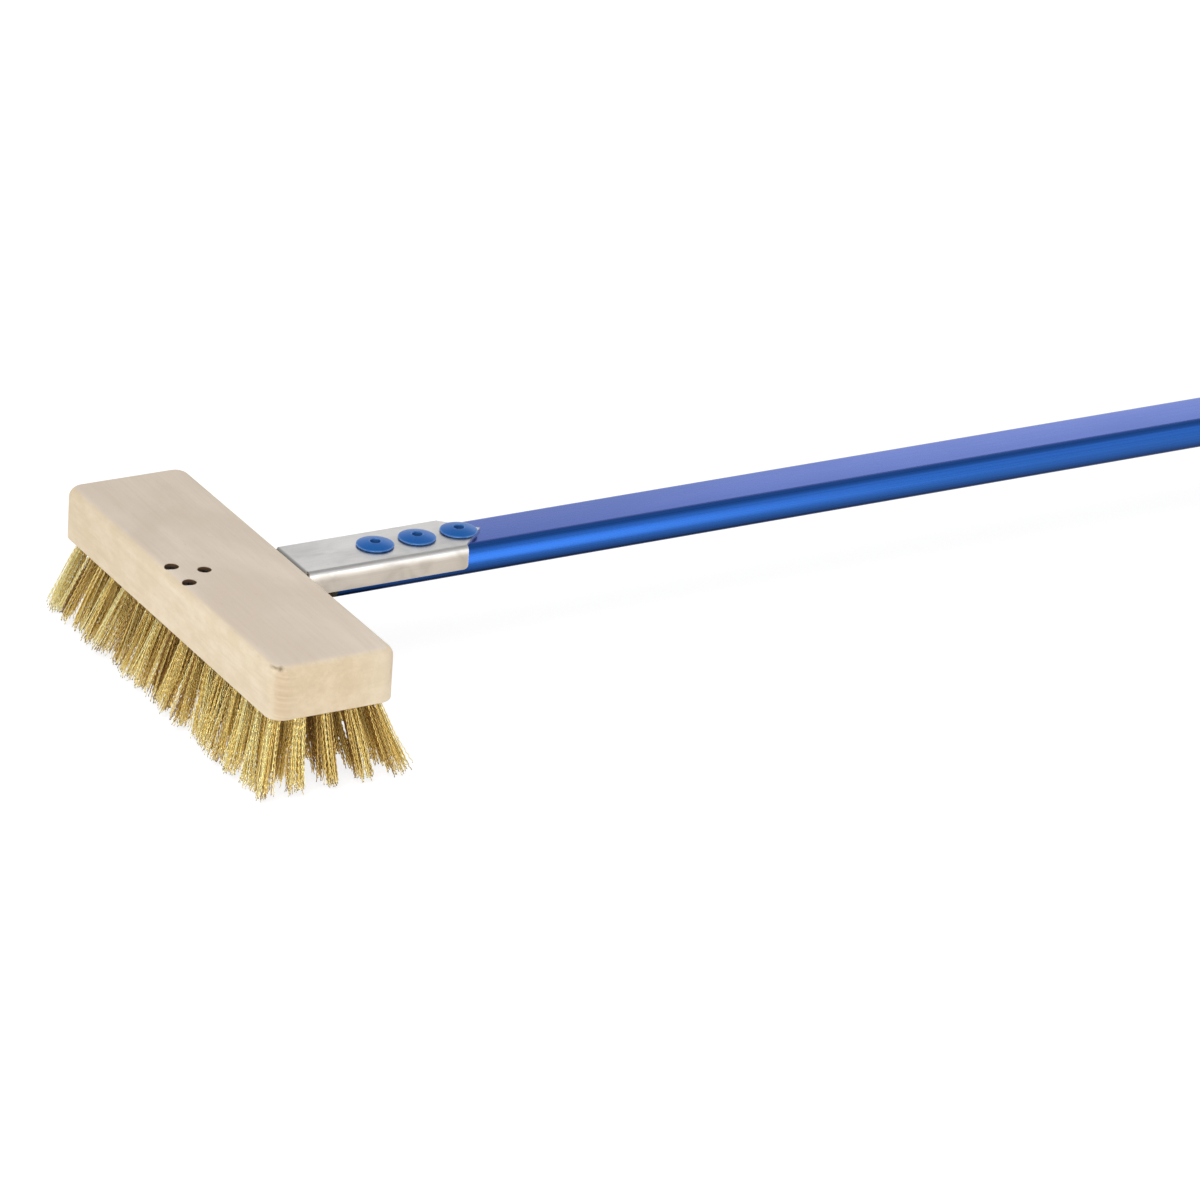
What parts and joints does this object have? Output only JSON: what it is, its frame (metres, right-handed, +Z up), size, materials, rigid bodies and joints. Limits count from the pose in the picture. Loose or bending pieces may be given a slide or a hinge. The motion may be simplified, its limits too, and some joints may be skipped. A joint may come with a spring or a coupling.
{
  "type": "long-handled brass wire brush",
  "caption": "Wide brush with a rectangular wooden block of splayed brass wire tufts, held by a folded steel bracket riveted to a flat-oval blue aluminium handle with a hanging eye.",
  "frame": {"origin": "centre of the plane of the trimmed bristle tips, under the middle of the block", "axes": "+X along the handle towards the hand, +Y along the block, +Z up from the bristle tips to the block"},
  "size_m": [1.5002, 0.2208, 0.0625],
  "materials": {
    "beech_wood": "satin",
    "brass_wire": "satin",
    "anchor_steel": "satin",
    "stainless_sheet": "satin",
    "screw_steel": "satin",
    "blue_anodised_tube": "satin",
    "blue_rivet": "satin",
    "mandrel_steel": "satin",
    "black_polymer": "matte"
  },
  "bodies": {
    "root": {"brush_block": "beech_wood", "tuft_column_01": "brass_wire", "tuft_column_02": "brass_wire", "tuft_column_03": "brass_wire", "tuft_column_04": "brass_wire", "tuft_column_05": "brass_wire", "tuft_column_06": "brass_wire", "tuft_column_07": "brass_wire", "tuft_column_08": "brass_wire", "tuft_column_09": "brass_wire", "tuft_column_10": "brass_wire", "tuft_column_11": "brass_wire", "tuft_column_12": "brass_wire", "tuft_column_13": "brass_wire", "tuft_column_14": "brass_wire", "tuft_column_15": "brass_wire", "tuft_column_16": "brass_wire", "tuft_column_17": "brass_wire", "tuft_anchors_row_1": "anchor_steel", "tuft_anchors_row_2": "anchor_steel", "tuft_anchors_row_3": "anchor_steel", "tuft_anchors_row_4": "anchor_steel", "tuft_anchors_row_5": "anchor_steel", "head_bracket": "stainless_sheet", "block_screw_1": "screw_steel", "block_screw_2": "screw_steel", "block_screw_3": "screw_steel", "handle_tube": "blue_anodised_tube", "handle_head_plug": "black_polymer", "handle_end_cap": "black_polymer", "rivet_1_body": "blue_rivet", "rivet_2_body": "blue_rivet", "rivet_3_body": "blue_rivet", "rivet_1_mandrel": "mandrel_steel", "rivet_2_mandrel": "mandrel_steel", "rivet_3_mandrel": "mandrel_steel"}
  },
  "joints": []
}
